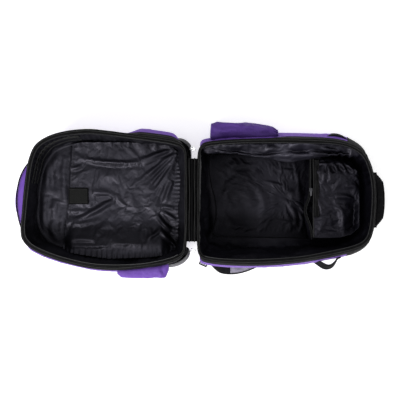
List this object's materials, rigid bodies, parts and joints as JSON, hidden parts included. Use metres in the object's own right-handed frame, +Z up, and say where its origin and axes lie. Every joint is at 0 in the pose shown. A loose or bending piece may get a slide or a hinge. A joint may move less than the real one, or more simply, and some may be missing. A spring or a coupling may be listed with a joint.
{
  "type": "bowling ball bag",
  "caption": "Clamshell backpack for a bowling ball, shown open on its back: padded body with ball cup and accessory pocket, zip-round lid, haul handle and shoulder straps.",
  "frame": {"origin": "middle of the resting face of the back padding, on the ground, with the bag lying on its back", "axes": "+Z up, +X towards the haul handle at the top end, -X towards the free end of the opened lid, Y across the bag"},
  "size_m": [1.0996, 0.468, 0.1685],
  "materials": {
    "purple_fabric": "woven polyester, purple, satin sheen",
    "black_fabric": "woven polyester, black, matt",
    "lining": "coated nylon lining, black, soft gloss, wrinkled",
    "foam": "closed-cell foam, grey",
    "board": "stiffener sheet, matt",
    "zip_tape": "zip tape and coil, black",
    "binding": "seam binding tape, dark grey",
    "webbing": "ribbed webbing, black",
    "spacer_mesh": "spacer mesh, grey",
    "hook_and_loop": "hook and loop, black",
    "hardware": "nickel-plated die casting",
    "small_hardware": "black enamelled die casting",
    "buckle_plastic": "moulded acetal, black, matt"
  },
  "bodies": {
    "bag": {"side_panel_left": "purple_fabric", "side_panel_right": "purple_fabric", "top_end_panel": "black_fabric", "bottom_end_panel": "black_fabric", "back_panel": "black_fabric", "body_zip_band": "black_fabric", "body_foam": "foam", "back_foam": "foam", "back_stiffener": "board", "body_lining": "lining", "body_zip_chain": "zip_tape", "body_rim_binding": "binding", "hinge_strip": "black_fabric", "ball_cup": "lining", "accessory_wall": "lining", "accessory_zip": "zip_tape", "side_pocket": "purple_fabric", "side_pocket_elastic": "black_fabric", "side_loop_left": "webbing", "side_loop_right": "webbing", "handle_anchors": "webbing", "back_pads": "spacer_mesh", "strap_yoke": "black_fabric", "strap_webbing_left": "webbing", "strap_webbing_right": "webbing"},
    "lid": {"lid_side_left": "purple_fabric", "lid_side_right": "purple_fabric", "lid_top_end": "purple_fabric", "lid_bottom_end": "black_fabric", "front_panel": "purple_fabric", "lid_zip_band": "black_fabric", "lid_foam": "foam", "lid_lining": "lining", "lid_zip_chain": "zip_tape", "lid_rim_binding": "binding", "lid_hinge_strip": "black_fabric", "corner_guards": "spacer_mesh", "lid_pocket_sheet": "lining", "loop_patch": "hook_and_loop", "front_pocket": "purple_fabric", "front_zip": "zip_tape", "lid_side_pocket": "purple_fabric"},
    "main_slider_left": {"slider_left": "hardware"},
    "main_slider_right": {"slider_right": "hardware"},
    "main_pull_left": {"pull_left": "hardware"},
    "main_pull_right": {"pull_right": "hardware"},
    "handle": {"haul_handle": "webbing", "haul_handle_grip": "webbing"},
    "tab": {"hook_tab": "hook_and_loop"},
    "cover_flap": {"accessory_cover": "lining"},
    "pocket_slider": {"accessory_slider": "small_hardware"},
    "pocket_pull": {"accessory_pull": "small_hardware"},
    "shoe_slider": {"front_slider": "small_hardware"},
    "shoe_pull": {"front_pull": "small_hardware"},
    "strap_left": {"strap_pad_left": "black_fabric", "strap_mesh_left": "spacer_mesh", "strap_buckle_left": "buckle_plastic"},
    "strap_right": {"strap_pad_right": "black_fabric", "strap_mesh_right": "spacer_mesh", "strap_buckle_right": "buckle_plastic"}
  },
  "joints": [
    {"name": "lid_fold", "type": "hinge", "parent": "bag", "child": "lid", "pos_m": [-0.188, 0, 0.16], "axis": [0, 1, 0], "range_deg": [0, 180]},
    {"name": "slider_left_travel", "type": "hinge", "parent": "bag", "child": "main_slider_left", "pos_m": [0.052, -0.472, 0.16], "axis": [0, 0, 1], "range_deg": [-35, 0]},
    {"name": "slider_right_travel", "type": "hinge", "parent": "bag", "child": "main_slider_right", "pos_m": [0.052, 0.472, 0.16], "axis": [0, 0, 1], "range_deg": [0, 35]},
    {"name": "pull_left_flip", "type": "hinge", "parent": "main_slider_left", "child": "main_pull_left", "pos_m": [-0.18737, 0.15014, 0.16], "axis": [0.9333, 0.3591, 0], "range_deg": [0, 170]},
    {"name": "pull_right_flip", "type": "hinge", "parent": "main_slider_right", "child": "main_pull_right", "pos_m": [-0.18737, -0.15014, 0.16], "axis": [0.9333, -0.3591, 0], "range_deg": [-170, 0]},
    {"name": "handle_swing", "type": "hinge", "parent": "bag", "child": "handle", "pos_m": [0.349, 0, 0.108], "axis": [0, 1, 0], "range_deg": [-70, 55]},
    {"name": "tab_lift", "type": "hinge", "parent": "lid", "child": "tab", "pos_m": [-0.5, 0, 0.075], "axis": [0, 1, 0], "range_deg": [0, 120]},
    {"name": "cover_flap_lift", "type": "hinge", "parent": "bag", "child": "cover_flap", "pos_m": [0.3, 0, 0.1012], "axis": [0, 1, 0], "range_deg": [0, 40]},
    {"name": "pocket_slider_travel", "type": "slide", "parent": "bag", "child": "pocket_slider", "axis": [0, 1, 0], "range_m": [-0.07, 0.105]},
    {"name": "pocket_pull_flip", "type": "hinge", "parent": "pocket_slider", "child": "pocket_pull", "pos_m": [0.1624, 0.03, 0.1044], "axis": [1, 0, 0], "range_deg": [-170, 0]},
    {"name": "shoe_slider_travel", "type": "slide", "parent": "lid", "child": "shoe_slider", "axis": [-1, 0, 0], "range_m": [0, 0.264]},
    {"name": "shoe_pull_flip", "type": "hinge", "parent": "shoe_slider", "child": "shoe_pull", "pos_m": [-0.296, 0.1602, 0.0412], "axis": [0, 0, 1], "range_deg": [-170, 0]},
    {"name": "strap_left_swing", "type": "hinge", "parent": "bag", "child": "strap_left", "pos_m": [0.248, 0.046, 0.008], "axis": [0, 0, 1], "range_deg": [-14, 2]},
    {"name": "strap_right_swing", "type": "hinge", "parent": "bag", "child": "strap_right", "pos_m": [0.248, -0.046, 0.008], "axis": [0, 0, 1], "range_deg": [-6, 10]}
  ]
}
